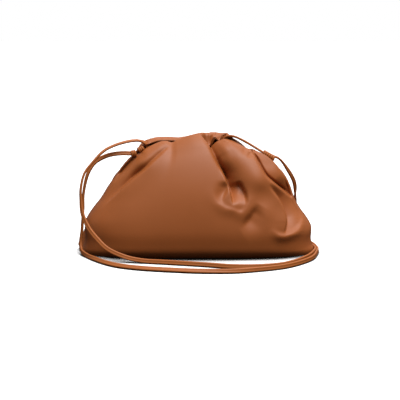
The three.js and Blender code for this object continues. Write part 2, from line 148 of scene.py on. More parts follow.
# %% Lights
def soft_sun(name, turn, lift, strength, spread):
    """A light as wide as a large softbox, turned from the front to the right and lifted, in degrees."""
    data = bpy.data.lights.new(name, "SUN")
    data.energy = strength
    data.angle = math.radians(spread)
    light = bpy.data.objects.new(name, data)
    side, up = math.radians(turn), math.radians(lift)
    place = Vector((math.sin(side) * math.cos(up), -math.cos(side) * math.cos(up), math.sin(up)))
    light.rotation_euler = place.to_track_quat("Z", "Y").to_euler()
    bpy.context.scene.collection.objects.link(light)


soft_sun("softbox_above", 24, 67, 3.6, 42)
soft_sun("softbox_behind", 160, 50, 0.8, 60)


# %% Room
def pale_room():
    """White to the camera. To everything else it is a dim fill that comes more from above."""
    world = bpy.data.worlds.new("pale_room")
    bpy.context.scene.world = world
    world.use_nodes = True
    tree = world.node_tree
    towards = add_node(tree, "ShaderNodeTexCoord").outputs["Generated"]
    height = add_node(tree, "ShaderNodeSeparateXYZ", links={"Vector": towards}).outputs["Z"]
    fill = add_node(tree, "ShaderNodeMapRange", inputs={"To Min": 0.12, "To Max": 0.75},
                    links={"Value": height})
    seen = add_node(tree, "ShaderNodeLightPath").outputs["Is Camera Ray"]
    strength = add_node(tree, "ShaderNodeMapRange", inputs={"To Max": 1.0},
                        links={"Value": seen, "To Min": fill.outputs["Result"]})
    backdrop = tree.nodes["Background"]
    backdrop.inputs["Color"].default_value = (1, 1, 1, 1)
    tree.links.new(strength.outputs["Result"], backdrop.inputs["Strength"])


pale_room()
bpy.context.scene.view_settings.view_transform = "Standard"

# %% [markdown]
# ## The shape of the leather body
# The body is two leather panels, sewn to each other under the bag and up both sides, and gathered at the
# mouth. Its whole form is worked out from a few sizes and short tables: the side outline, a section
# from the rim down to the floor, the height of each rim, and a row for each fold. A cloth simulation
# could crumple the leather too, but these folds have to lie where the real bag has them.

# %% Sizes of the body
BAG_WIDTH = 224.0  # from corner ear to corner ear
BAG_HEIGHT = 115.0  # to the highest gather of the rim
BAG_DEPTH = 78.0
SHOULDER_HEIGHT = 92.0  # where the side seams end and the mouth begins
LEATHER_WALL = 1.8
MOUTH_GAP = 6.0
SEAM_GAP = 0.3  # between the two panels where they are sewn
EAR_LIFT = 1.2  # how far the corner ears stand off the floor
HALF_WIDTH, HALF_DEPTH = BAG_WIDTH / 2, BAG_DEPTH / 2
SEAM_LIP = SEAM_GAP / 2 + LEATHER_WALL

# %% Side outline, section and arch
# Height share of the shoulder, then the left and right reach as shares of half the width
OUTLINE = np.array([
    (0.0, 1.0, 1.0),
    (0.03, 0.995, 0.996),
    (0.08, 0.98, 0.98),
    (0.14, 0.972, 0.974),
    (0.25, 0.976, 0.976),
    (0.34, 0.96, 0.94),
    (0.45, 0.904, 0.876),
    (0.56, 0.836, 0.828),
    (0.7, 0.768, 0.79),
    (0.82, 0.702, 0.744),
    (0.9, 0.66, 0.694),
    (0.96, 0.618, 0.612),
    (1.0, 0.568, 0.513),
])

# Depth share from the rim to the belly, and height share of the rim, from the rim down to the floor
SECTION = np.array([
    (0.0, 1.0),
    (0.09, 0.975),
    (0.27, 0.905),
    (0.47, 0.8),
    (0.66, 0.66),
    (0.82, 0.51),
    (0.94, 0.36),
    (1.0, 0.23),
    (0.985, 0.13),
    (0.93, 0.055),
    (0.76, 0.0),
])

# Place across the mouth from shoulder to shoulder, and height share of the body's plain arch there
SHOULDER = SHOULDER_HEIGHT / BAG_HEIGHT
ARCH = np.array([
    (-1.0, SHOULDER),
    (-0.7, 0.9),
    (-0.3, 0.955),
    (0.05, 0.98),
    (0.45, 0.955),
    (0.75, 0.89),
    (1.0, SHOULDER),
])

# %% The two rims
# The same for each rim, with its own gathers. Then how far it leans out, as a share of the mouth's gap, how
# far its edge rolls over into the mouth, as a share of a full roll, and how far it hangs beyond the roll, as
# a share of the roll's length
FRONT_RIM = np.array([
    (-1.0, SHOULDER, 0.0, 0.0, 0.0),
    (-0.85, 0.845, 0.0, 0.1, 0.0),
    (-0.74, 0.887, 0.0, 0.15, 0.0),
    (-0.55, 0.932, 0.0, 0.2, 0.0),
    (-0.455, 0.94, 0.0, 0.2, 0.0),
    (-0.36, 0.928, 0.0, 0.15, 0.0),
    (-0.28, 0.947, 0.0, 0.15, 0.0),
    (-0.09, 0.983, 0.0, 0.15, 0.0),
    (0.02, 0.992, 0.0, 0.15, 0.0),
    (0.08, 0.987, 0.0, 0.15, 0.0),
    (0.133, 0.965, 0.0, 0.15, 0.0),
    (0.172, 0.932, 0.0, 0.15, 0.0),
    (0.22, 0.875, 0.0, 0.1, 0.0),
    (0.27, 0.9, 0.1, 0.3, 0.0),
    (0.33, 0.928, 0.25, 0.38, 0.0),
    (0.39, 0.945, 0.25, 0.38, 0.0),
    (0.46, 0.957, 0.2, 0.3, 0.0),
    (0.58, 0.943, 0.0, 0.2, 0.0),
    (0.67, 0.92, 0.0, 0.15, 0.0),
    (0.83, 0.878, 0.0, 0.1, 0.0),
    (0.93, 0.864, 0.0, 0.0, 0.0),
    (1.0, SHOULDER, 0.0, 0.0, 0.0),
])
BACK_RIM = np.array([
    (-1.0, SHOULDER, 0.0, 0.0, 0.0),
    (-0.85, 0.882, 0.1, 0.4, 0.0),
    (-0.77, 0.917, 0.5, 0.9, 0.0),
    (-0.7, 0.94, 0.65, 1.0, 0.1),
    (-0.57, 0.961, 0.65, 1.0, 0.1),
    (-0.2, 0.963, 0.65, 1.0, 0.1),
    (-0.09, 0.978, 0.65, 1.0, 0.1),
    (0.02, 0.996, 0.65, 1.1, 0.5),
    (0.1, 1.0, 0.65, 1.15, 0.9),
    (0.18, 0.999, 0.65, 1.15, 0.9),
    (0.23, 0.997, 0.6, 1.1, 0.9),
    (0.27, 0.996, 0.5, 1.0, 0.3),
    (0.33, 0.993, 0.5, 1.0, 0.2),
    (0.38, 0.993, 0.6, 1.0, 0.5),
    (0.43, 0.99, 0.6, 0.6, 0.1),
    (0.47, 0.986, 0.2, 0.1, 0.0),
    (0.52, 0.981, 0.0, 0.1, 0.0),
    (0.58, 0.962, 0.0, 0.1, 0.0),
    (0.66, 0.92, 0.0, 0.1, 0.0),
    (0.79, 0.874, 0.0, 0.1, 0.0),
    (0.92, 0.848, 0.0, 0.0, 0.0),
    (1.0, SHOULDER, 0.0, 0.0, 0.0),
])


# %% A row for each fold
ROUND, CREASED = 2.0, 1.3


def fold(path, depth, left, right, start=0.0, end=0.5, lip=0.0, slot=0.0, power=ROUND, over=0.0):
    """A valley along a path, or a raised fold where its depth is below zero.

    The path's places are shares of half the width and of the height. left and right say how far the fold
    reaches to each side, start and end over which share of its path it fades in and out. lip is how high the
    leather bulges beside the sharper side, slot the depth of a narrow crevice, and over how far the sharper
    side hangs over the fold. Depths are shares of half the depth, and the rest shares of half the width.
    """
    return {"path": path, "depth": depth, "left": left, "right": right, "start": start, "end": end,
            "lip": lip, "slot": slot, "power": power, "over": over}


FRONT_FOLDS = [
    # Crevice under the left shoulder, and the narrow strip that it parts from the front
    fold([(-0.49, 0.842), (-0.54, 0.803), (-0.609, 0.74), (-0.677, 0.675), (-0.735, 0.61)],
         0.14, 0.012, 0.03, end=0.35, slot=0.12),
    fold([(-0.56, 0.8), (-0.632, 0.735), (-0.7, 0.665), (-0.752, 0.6)], -0.07, 0.016, 0.016, 0.3, 0.4),
    # Long crease from the left of the rim: the belly bulges over its lower side
    fold([(-0.245, 0.905), (-0.315, 0.854), (-0.386, 0.793), (-0.439, 0.742), (-0.512, 0.681),
          (-0.586, 0.618), (-0.667, 0.544)], 0.09, 0.03, 0.012, 0.1, 0.4, power=CREASED),
    fold([(-0.35, 0.825), (-0.439, 0.742), (-0.512, 0.681), (-0.586, 0.618), (-0.667, 0.544),
          (-0.747, 0.473), (-0.81, 0.41)],
         0.16, 0.055, 0.012, 0.45, 0.45, lip=0.02, power=CREASED, over=0.01),
    # Crease from the notch in the middle of the rim
    fold([(0.11, 0.885), (0.144, 0.822), (0.177, 0.76), (0.209, 0.698), (0.232, 0.644), (0.243, 0.609)],
         0.12, 0.009, 0.02, end=0.2, power=CREASED),
    # Deep hollow beside it, under the puffed end of the rim
    fold([(0.144, 0.822), (0.177, 0.76), (0.209, 0.698), (0.236, 0.64), (0.262, 0.57), (0.285, 0.505),
          (0.3, 0.45)], 0.38, 0.009, 0.08, 0.45, 0.34, power=CREASED, over=0.018),
    # Its two branches
    fold([(0.235, 0.63), (0.22, 0.566), (0.2, 0.511), (0.195, 0.45)], 0.09, 0.05, 0.02, 0.3, 0.6),
    fold([(0.33, 0.63), (0.352, 0.585), (0.38, 0.53), (0.4, 0.45)],
         0.15, 0.05, 0.02, 0.35, 0.4, power=CREASED),
    # Raised fold round their lower end
    fold([(0.1, 0.605), (0.117, 0.535), (0.167, 0.464), (0.225, 0.424), (0.292, 0.405), (0.358, 0.384),
          (0.4, 0.415), (0.426, 0.485), (0.426, 0.563), (0.402, 0.642)], -0.035, 0.055, 0.02, 0.35, 0.35),
    # Short valley down to the left from the middle of the right side
    fold([(0.52, 0.45), (0.492, 0.405), (0.46, 0.355), (0.425, 0.31), (0.39, 0.27), (0.35, 0.245)],
         0.1, 0.035, 0.09, 0.35, 0.5),
    # Crevice from the right end of the mouth, under which the outer roll runs off to the right
    fold([(0.463, 0.857), (0.497, 0.802), (0.538, 0.73), (0.581, 0.665), (0.65, 0.604), (0.741, 0.526),
          (0.827, 0.46)], 0.2, 0.01, 0.13, end=0.2, lip=0.03, slot=0.08, power=CREASED, over=0.012),
    # Second crease below it
    fold([(0.597, 0.602), (0.631, 0.552), (0.674, 0.493), (0.709, 0.435), (0.735, 0.37), (0.751, 0.305),
          (0.741, 0.24), (0.735, 0.2)], 0.22, 0.01, 0.11, 0.35, 0.35, lip=0.02, power=CREASED, over=0.016),
    # Raised fold round its lower end
    fold([(0.6, 0.25), (0.671, 0.2), (0.732, 0.186), (0.804, 0.204), (0.862, 0.237), (0.898, 0.298),
          (0.884, 0.375)], -0.06, 0.045, 0.022, 0.25, 0.35),
    # Short gathers at the right end of the mouth
    fold([(0.44, 0.86), (0.43, 0.81)], 0.06, 0.02, 0.02, 0.4, 0.6),
    fold([(0.4, 0.9), (0.385, 0.84)], 0.05, 0.02, 0.02, 0.4, 0.6),
]

# %% The folds of the back
BACK_FOLDS = [
    # Large folds that hang from the rim
    fold([(-0.42, 0.93), (-0.52, 0.78), (-0.66, 0.6), (-0.76, 0.42)], 0.24, 0.02, 0.09, lip=0.03, slot=0.05),
    fold([(-0.16, 0.95), (-0.2, 0.76), (-0.28, 0.56)], 0.26, 0.07, 0.02, end=0.6, lip=0.03, slot=0.05),
    fold([(0.1, 0.98), (0.09, 0.8), (0.13, 0.62), (0.1, 0.44)],
         0.34, 0.08, 0.02, end=0.55, lip=0.04, slot=0.06),
    fold([(0.27, 0.97), (0.36, 0.8), (0.5, 0.6), (0.58, 0.42)], 0.26, 0.02, 0.08, lip=0.03, slot=0.05),
    fold([(0.44, 0.86), (0.6, 0.72), (0.74, 0.54)], 0.18, 0.05, 0.02, slot=0.04),
    # Raised fold low down
    fold([(-0.36, 0.3), (-0.18, 0.24), (0.04, 0.27)], -0.05, 0.07, 0.07, 0.4, 0.4),
    # Short gathers along the rim, which show over the notch of the front
    fold([(0.0, 0.99), (0.03, 0.9)], 0.05, 0.016, 0.016, end=0.9),
    fold([(0.06, 1.0), (0.075, 0.88)], 0.07, 0.016, 0.016, end=0.9),
    fold([(0.13, 1.0), (0.12, 0.88)], 0.06, 0.016, 0.016, end=0.9),
    fold([(-0.3, 0.96), (-0.28, 0.88)], 0.05, 0.02, 0.02, end=0.9),
]

# %% Swellings and side rolls
# Centre, radius and height of each soft swelling, as shares of the same sizes as a fold's
FRONT_SWELLS = [
    ((-0.05, 0.6), 0.3, 0.07),
    ((0.2, 0.92), 0.07, 0.1),
    ((0.44, 0.72), 0.15, 0.08),
    ((0.5, 0.63), 0.1, 0.07),
    ((0.3, 0.45), 0.05, 0.03),
    ((0.7, 0.66), 0.11, 0.08),
    ((-0.45, 0.8), 0.1, 0.06),
    ((0.54, 0.37), 0.08, 0.05),
]
BACK_SWELLS = [
    ((-0.02, 0.62), 0.16, 0.07),
    ((0.28, 0.6), 0.16, 0.07),
    ((-0.45, 0.52), 0.22, 0.06),
]

# Height share, and how far the left side swells out beside its seam there, as a share of the bag's width:
# at the back a roll of leather stands out past the seam, low at the corner and again under the shoulder
FRONT_SIDE = np.array([(0.0, 0.0), (1.0, 0.0)])
BACK_SIDE = np.array([
    (0.0, 0.03),
    (0.04, 0.048),
    (0.1, 0.046),
    (0.16, 0.03),
    (0.22, 0.012),
    (0.3, 0.0),
    (0.5, 0.0),
    (0.58, 0.01),
    (0.64, 0.013),
    (0.7, 0.005),
    (0.76, 0.0),
    (1.0, 0.0),
])


# %% Reading the tables
def ease(low, high, value):
    """A smooth step from 0 at low to 1 at high."""
    t = np.clip((value - low) / (high - low), 0, 1)
    return t * t * (3 - 2 * t)


def read_table(table, column, place):
    """Values of a column on a smooth curve through the rows, at places along the first column."""
    keys = table[:, 0]
    k = np.clip(np.searchsorted(keys, place, side="right") - 1, 0, len(keys) - 2)
    before, after = np.maximum(k - 1, 0), np.minimum(k + 2, len(keys) - 1)
    values = table[:, column]
    span = keys[k + 1] - keys[k]
    t = np.clip((place - keys[k]) / span, 0, 1)
    slope_low = (values[k + 1] - values[before]) / (keys[k + 1] - keys[before]) * span
    slope_high = (values[after] - values[k]) / (keys[after] - keys[k]) * span
    return (
        (2 * t**3 - 3 * t**2 + 1) * values[k]
        + (t**3 - 2 * t**2 + t) * slope_low
        + (3 * t**2 - 2 * t**3) * values[k + 1]
        + (t**3 - t**2) * slope_high
    )


def spline(points, share):
    """Points on an even Catmull-Rom curve through a few points, at shares from 0 to 1."""
    points = np.asarray(points, float)
    place = np.asarray(share) * (len(points) - 1)
    k = np.clip(place.astype(int), 0, len(points) - 2)
    t = (place - k)[..., None]
    p0, p1 = points[np.maximum(k - 1, 0)], points[k]
    p2, p3 = points[k + 1], points[np.minimum(k + 2, len(points) - 1)]
    return 0.5 * (
        2 * p1 + (p2 - p0) * t + (2 * p0 - 5 * p1 + 4 * p2 - p3) * t**2 + (3 * p1 - p0 - 3 * p2 + p3) * t**3
    )


# %% How a fold moves the leather
LIP_AT = 0.045  # how far the lip stands from the fold's line, as a share of half the width
LIP_WIDE = 0.06
SLOT_WIDE = 0.012
CREST_WIDE = 5.0  # how far from the line the leather still hangs over, in millimetres
LINE_POINTS = 33


def fold_moves(row, x, z):
    """How far a fold moves the leather in, to the side and up, at places seen from the front."""
    line = spline(np.array(row["path"]) * (HALF_WIDTH, BAG_HEIGHT), np.linspace(0, 1, LINE_POINTS))
    nearest = np.full(x.shape, 1e9)
    signed, place, away_x, away_z = [np.zeros(x.shape) for _ in range(4)]
    for k, (a, b) in enumerate(zip(line[:-1], line[1:])):
        run = b - a
        t = np.clip(((x - a[0]) * run[0] + (z - a[1]) * run[1]) / (run @ run), 0, 1)
        ex, ez = x - a[0] - t * run[0], z - a[1] - t * run[1]
        gap = np.hypot(ex, ez)
        closer = gap < nearest
        nearest = np.where(closer, gap, nearest)
        signed = np.where(closer, run[0] * ez - run[1] * ex, signed)
        place = np.where(closer, (k + t) / (len(line) - 1), place)
        away_x, away_z = np.where(closer, ex, away_x), np.where(closer, ez, away_z)
    reach = np.where(signed > 0, row["right"], row["left"]) * HALF_WIDTH
    sharp = (signed > 0) == (row["right"] < row["left"])
    bulge = np.exp(-(((nearest / HALF_WIDTH - LIP_AT) / LIP_WIDE) ** 2)) * sharp
    crevice = np.exp(-((nearest / (SLOT_WIDE * HALF_WIDTH)) ** 2))
    power = np.where(sharp, 2, row["power"])
    moved = row["depth"] * np.exp(-((nearest / reach) ** power))
    moved = moved - row["lip"] * bulge + row["slot"] * crevice
    fade = (ease(0, row["start"], place) if row["start"] > 0 else 1.0) * ease(0, row["end"], 1 - place)
    crest = (1 - np.exp(-((nearest / reach) ** 2))) * np.exp(-((nearest / CREST_WIDE) ** 2)) * sharp
    over = row["over"] * HALF_WIDTH * crest * fade / np.maximum(nearest, 1e-6)
    return np.array([HALF_DEPTH * moved * fade, -over * away_x, -over * away_z])


# %% The outer face of a panel
GATHER_POWER = 6  # how fast the rim's gathers fade below it
LEAN_FROM, LEAN_TO = 0.7, 0.92
ROLL_LENGTH = 10.0
FULL_ROLL = math.radians(150)
ROLL_FROM = 1 - ROLL_LENGTH / BAG_HEIGHT
EAR_FROM = 0.92  # where the corner ears begin to lift, across the panel
SIDE_ROLL_AT = (0.04, 0.05, 0.16)  # in from the seam: full from the first to the second, gone at the third
RIM_HOLD = 0.3  # the share of a fold's depth that is left at the rim
RIM_BAND, FLOOR_BAND, SIDE_BAND = 0.16, 0.12, 0.05  # how far from the edges the folds reach their full depth


def panel_face(across, down, rim, folds, swells, sides):
    """Places on a panel's outer face, and how far its rim rolls from them, forwards and up.

    across runs from -1 to 1, and down from 0 at the rim to 1 at the floor.
    """
    # Columns lie closer together near the seams, where the leather turns
    station = 0.72 * across + 0.28 * np.sin(across * math.pi / 2)
    near = np.abs(station)
    rim_out = SEAM_LIP + (MOUTH_GAP / 2 + LEATHER_WALL - SEAM_LIP) * np.sqrt(1 - near**10)
    belly = SEAM_LIP + (HALF_DEPTH - SEAM_LIP) * (1 - near**4) ** 0.6
    row = spline(SECTION, down)
    depth, share = np.maximum(row[..., 0], 0), np.maximum(row[..., 1], 0)
    # The rim's edge runs round an arc, and what is longer than the arc hangs straight on
    bend = np.maximum(read_table(rim, 3, station) * FULL_ROLL, 0.01) / ROLL_LENGTH
    hang = np.maximum(read_table(rim, 4, station), 0)
    climbed = np.clip((share - ROLL_FROM) / (1 - ROLL_FROM), 0, 1) * (1 + hang) * ROLL_LENGTH
    rolled = np.minimum(climbed, ROLL_LENGTH)
    forward = (1 - np.cos(bend * rolled)) / bend + np.sin(bend * ROLL_LENGTH) * (climbed - rolled)
    up = np.sin(bend * rolled) / bend + np.cos(bend * ROLL_LENGTH) * (climbed - rolled)
    crest = np.sin(np.minimum(bend * ROLL_LENGTH, math.pi / 2)) / bend
    # Below it the leather follows the plain arch, and each gather lifts or lowers it more towards the rim
    arch, top = read_table(ARCH, 1, station) * BAG_HEIGHT, read_table(rim, 1, station) * BAG_HEIGHT
    bottom = EAR_LIFT * ease(EAR_FROM, 1, near)
    plain = np.minimum(share, ROLL_FROM)
    gather = (top - crest - bottom - (arch - bottom) * ROLL_FROM) / ROLL_FROM**GATHER_POWER
    z = bottom + (arch - bottom) * plain + gather * plain**GATHER_POWER
    left, right = read_table(OUTLINE, 1, share), read_table(OUTLINE, 2, share)
    x = ((right - left) + station * (right + left)) / 2 * HALF_WIDTH
    full, until, gone = SIDE_ROLL_AT
    beside_seam = ease(0, full, 1 - near) * (1 - ease(until, gone, 1 - near)) * (station < 0)
    x = x - read_table(sides, 1, z / BAG_HEIGHT) * BAG_WIDTH * beside_seam
    lean = read_table(rim, 2, station) * MOUTH_GAP * ease(LEAN_FROM, LEAN_TO, share)
    out = rim_out + (belly - rim_out) * depth + lean
    moved, aside, raised = sum(fold_moves(crease, x, z + up) for crease in folds)
    for (at_x, at_z), radius, height in swells:
        gap = np.hypot(x - at_x * HALF_WIDTH, z + up - at_z * BAG_HEIGHT)
        moved = moved - height * HALF_DEPTH * np.exp(-((gap / (radius * HALF_WIDTH)) ** 2))
    held = RIM_HOLD + (1 - RIM_HOLD) * ease(0, RIM_BAND, 1 - share)
    free = ease(0, FLOOR_BAND, share) * ease(0, SIDE_BAND, 1 - near) * held
    out = np.maximum(out - moved * free, SEAM_LIP)
    return x + aside * free, out, z + raised * free, bottom, forward, up


# %% [markdown]
# ## Two leather panels
# Each panel is one thin closed shell. Two grids, one for each face of the leather, are laid over the
# worked-out form and joined round their edge. The rim then gets a rounded edge, as turned leather has.

# %% A flat grid for each face
COLUMNS = 280
ROWS = 158


def face_grid(work, turned):
    """A flat grid of the panel's size, and its vertices in rows from the rim down."""
    before = set(work.faces)
    made = bmesh.ops.create_grid(work, x_segments=COLUMNS, y_segments=ROWS, size=1)
    if turned:
        bmesh.ops.reverse_faces(work, faces=[f for f in work.faces if f not in before])
    verts = made["verts"]
    places = np.array([v.co for v in verts]).round(5)
    order = np.lexsort((places[:, 0], -places[:, 1]))
    return [verts[k] for k in order]


# %% The places of both faces
FLOOR_SHARE = 0.1  # the share of the rows that lies under the bag
SOFTENING_ROUNDS = 12


def soften(field, rounds):
    """A field of vectors over the grid, each mixed with its neighbours a few times."""
    for _ in range(rounds):
        wide = np.pad(field, ((1, 1), (1, 1), (0, 0)), mode="edge")
        field = (wide[:-2, 1:-1] + wide[2:, 1:-1] + wide[1:-1, :-2] + wide[1:-1, 2:] + 4 * field) / 8
    return field


def wall_faces(side, rim, folds, swells, sides):
    """The outer and inner face of a panel as places in rows from the rim down."""
    across, drop = np.meshgrid(np.linspace(-1, 1, COLUMNS + 1), np.linspace(0, 1, ROWS + 1))
    down = np.minimum(drop / (1 - FLOOR_SHARE), 1)
    under = np.clip((drop - 1 + FLOOR_SHARE) / FLOOR_SHARE, 0, 1)
    x, out, z, bottom, forward, up = panel_face(across, down, rim, folds, swells, sides)
    z = np.where(down >= 1, bottom, z + up)
    # The furthest swelling reaches half the bag's depth, and the last rows turn in under the bag
    reach = (HALF_DEPTH - SEAM_GAP / 2) / (out.max() - SEAM_GAP / 2)
    out = np.maximum(SEAM_GAP / 2 + (out - SEAM_GAP / 2) * reach, SEAM_LIP) - forward
    out = out + (SEAM_GAP / 2 - out) * under
    outer = np.stack([x, out, z], -1)
    # The inner face lies one wall further in, along directions that are softened so that they don't cross
    along_z, along_x = np.gradient(outer, axis=0), np.gradient(outer, axis=1)
    inward = soften(np.cross(along_z, along_x), SOFTENING_ROUNDS)
    inward /= np.maximum(np.linalg.norm(inward, axis=-1, keepdims=True), 1e-9)
    inward[under > 0] = (0, 0, 1)
    inner = outer + inward * LEATHER_WALL
    inner[..., 1] = np.maximum(inner[..., 1], SEAM_GAP / 2)
    inner[..., 2] = np.where(down >= 1, z + LEATHER_WALL, inner[..., 2])
    for edge in (0, -1):
        risen = (z[:, edge] - z[-1, edge]) / (z[0, edge] - z[-1, edge])
        inner[:, edge, 0] = outer[:, edge, 0] - np.sign(outer[:, edge, 0]) * SEAM_GAP * under[:, edge]
        inner[:, edge, 1] = SEAM_GAP / 2
        inner[:, edge, 2] = z[:, edge] + LEATHER_WALL * (1 - risen)
    return [face * (1, side, 1) for face in (outer, inner)]


# %% A panel's mesh
RIM_ROUND = 0.75


def leather_panel(name, side, rim, folds, swells, sides):
    """A panel as one closed shell. side is -1 at the front and 1 at the back."""
    work = bmesh.new()
    outer, inner = wall_faces(side, rim, folds, swells, sides)
    outer_verts, inner_verts = face_grid(work, side > 0), face_grid(work, side < 0)
    for verts, places in ((outer_verts, outer), (inner_verts, inner)):
        for vert, place in zip(verts, places.reshape(-1, 3)):
            vert.co = place * MM
    edges = [e for e in work.edges if e.is_boundary]
    bmesh.ops.bridge_loops(work, edges=edges)
    rows = (set(outer_verts[:COLUMNS + 1]), set(inner_verts[:COLUMNS + 1]))
    rim_edges = [e for e in work.edges for row in rows if e.verts[0] in row and e.verts[1] in row]
    bmesh.ops.bevel(work, geom=rim_edges, affect="EDGES", offset=RIM_ROUND * MM, segments=3, profile=0.5,
                    material=-1)
    for face in work.faces:
        face.smooth = True
    bmesh.ops.triangulate(work, faces=[f for f in work.faces if len(f.verts) > 4])
    volume = work.calc_volume(signed=True) * 1e9
    print(name, "faces:", len(work.faces), "leather:", round(volume / 1000, 1), "cm3, open edges:",
          sum(not e.is_manifold for e in work.edges))
    mesh = bpy.data.meshes.new(name)
    work.to_mesh(mesh)
    work.free()
    panel = bpy.data.objects.new(name, mesh)
    bpy.context.scene.collection.objects.link(panel)
    return panel


front = leather_panel("front_leather", -1, FRONT_RIM, FRONT_FOLDS, FRONT_SWELLS, FRONT_SIDE)
back = leather_panel("back_leather", 1, BACK_RIM, BACK_FOLDS, BACK_SWELLS, BACK_SIDE)
for piece, node in ((front, "front_panel"), (back, "back_panel")):
    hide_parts(node)
    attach(piece, "root")

# %% [markdown]
# ## The strap
# The strap is one thin leather lace, folded to the middle so that a groove runs along it. It leaves the
# left end of the mouth, and its two strands lie loosely round the bag to the knot at the right end. Its
# route is a short list of points with the way its flat side faces, and a ring of the lace's section is
# drawn along it. A curve object would do too, but rings keep the flat side where it is wanted.

# %% Route of the front strand
# Place of the lace's middle, then the way its flat side faces
STRAP_FRONT = [
    (-47.8, 1, 99.6, 0.5, -1, 0.1),
    (-48.4, 1, 103.8, 0.6, -0.8, 0.4),
    (-54.8, -1.3, 107.6, 0, -0.3, 1),
    (-62.2, -4, 108.2, 0, -0.3, 1),
    (-77.8, -8, 104.7, -0.4, -0.3, 1),
    (-88.8, -12, 99.5, -0.5, -0.3, 1),
    (-100.2, -16, 88.2, -0.8, 0, 0.8),
    (-106.9, -19, 79.2, -1, -0.1, 0.5),
    (-110.4, -22, 64.7, -1, -0.3, 0.1),
    (-110.2, -24, 55, -1, -0.6, 0),
    (-108.6, -28, 42.4, -0.7, -1, 0),
    (-102.6, -34, 30.2, -0.4, -1, 0),
    (-94, -42, 21.2, -0.2, -1, 0.1),
    (-84, -48, 12.9, -0.1, -1, 0.2),
    (-66.6, -50, 5.3, 0, -1, 0.25),
    (-50, -53, 2.6, 0.1, -1, 0.25),
    (-32.2, -57, 2.5, 0, -1, 0.25),
    (7.4, -67.2, 2.5, -0.2, -1, 0.25),
    (30.8, -74, 2.5, -0.1, -1, 0.25),
    (54.3, -74, 2.5, 0.2, -1, 0.25),
    (78.6, -65.5, 2.5, 0.5, -1, 0.2),
    (101.5, -37.5, 2.5, 1, -0.8, 0.1),
    (111, -14, 2.5, 1, -0.3, 0.1),
    (113.8, -1, 2.5, 1, 0, 0.1),
    (112.9, 9, 2.5, 1, 0.2, 0.1),
    (109.6, 22, 2.5, 1, 0.6, 0),
    (103.5, 35.5, 4, 0.6, 1, 0),
    (98.5, 42, 14, 0.3, 1, 0),
    (97, 38, 31, 0.4, 1, 0.2),
    (96.1, 30, 48.4, 1, 0.2, 0.2),
    (95.6, 26, 57.7, 0.7, -0.8, 0.2),
    (94.1, 22.5, 64.7, 0.5, -1, 0.3),
    (90.6, 18, 72, 0.5, -1, 0.4),
    (85.7, 12.5, 79.8, 0.6, -0.8, 0.7),
    (80.6, 6.6, 87, 0.6, -0.3, 1),
    (77.8, 4, 89.9, 0.5, 0, 0.9),
    (75.7, 3.2, 91.3, 0.45, 0, 0.9),
    (71, 3.2, 92.6, 0.45, 0, 0.9),
]

# %% Routes of the rear strand and the tip
STRAP_REAR = [
    (-62.2, -4.4, 96.1, 0, -1, 0.4),
    (-65.2, -4.4, 96.2, 0, -1, 0.4),
    (-72.6, -4.6, 96.3, 0, -1, 0.4),
    (-83.6, -5, 94.9, -0.1, -1, 0.4),
    (-91.9, -5, 91.7, -0.2, -1, 0.3),
    (-99.2, -5, 86.7, -0.5, -1, 0.3),
    (-105.2, -6, 76.3, -1, -0.8, 0.2),
    (-109.4, -7.5, 57.5, -1, -0.4, 0),
    (-109.6, -9, 44.3, -1, -0.3, 0),
    (-110.4, -10, 34, -1, -0.4, 0),
    (-111.3, -10.5, 22, -1, -0.5, 0),
    (-112.7, -11.5, 11, -1, -0.6, 0),
    (-111.6, -16, 4.8, -1, -0.6, 0),
    (-105.4, -28.5, 2.5, -1, -0.9, 0.2),
    (-96.2, -43.5, 2.5, -1, -1, 0.8),
    (-85.4, -58, 2.5, -0.8, -1, 1),
    (-73.4, -69.5, 2.5, -0.5, -1, 1),
    (-54.1, -79.5, 2.5, -0.3, -1, 1),
    (-23, -87.5, 2.5, -0.1, -1, 1),
    (0.1, -91.5, 2.5, 0, -1, 0.8),
    (30.3, -92, 2.5, 0.2, -1, 0.4),
    (52, -86, 2.5, 0.3, -1, 0.2),
    (80, -72.5, 2.5, 0.6, -1, 0.2),
    (105.5, -42, 2.5, 1, -0.8, 0.1),
    (113.4, -16.5, 2.5, 1, -0.3, 0.1),
    (115.8, -2, 2.5, 1, 0, 0.1),
    (115, 10, 2.5, 1, 0.2, 0.1),
    (112, 25, 2.5, 1, 0.6, 0),
    (104, 42, 2.6, 0.6, 1, 0),
    (91, 49, 5.5, 0, 1, 0.1),
    (82.5, 48.5, 17, -0.1, 1, 0.2),
    (79, 43, 34, 0, 1, 0.3),
    (76.5, 34, 53, 0.1, 1, 0.4),
    (73.5, 25, 66, 0.3, 1, 0.6),
    (70.5, 16.5, 76, 0.2, 0.9, 0.8),
    (69.7, 11.5, 82, 0.1, 0.9, 0.6),
    (69.8, 8, 86.5, 0.1, 0.9, 0.5),
    (70.4, 5, 89.4, 0.3, 0.6, 0.7),
    (70, 3.5, 90.6, 0.45, 0, 0.9),
]
STRAP_TIP = [
    (64.6, 3.2, 94.8, 0.5, 0, 0.85),
    (60.9, 3.2, 97, 0.5, 0, 0.85),
    (54.4, 3.8, 101, 0.55, 0, 0.85),
    (47.1, 3.4, 105.4, 0.55, 0, 0.85),
    (40, 1.9, 109.3, 0.35, 0, 1),
    (34.2, 0.3, 111.8, 0.1, 0.2, 1),
    (28.8, -0.2, 111.8, -0.3, 0.6, 0.6),
    (25.4, 0.2, 109, 0, 1, 0),
    (24, 0.2, 103.5, 0, 1, 0),
]


# %% The line of a lace
RING_STEP = 1.6
CURVE_STEPS = 40  # between two points of a route


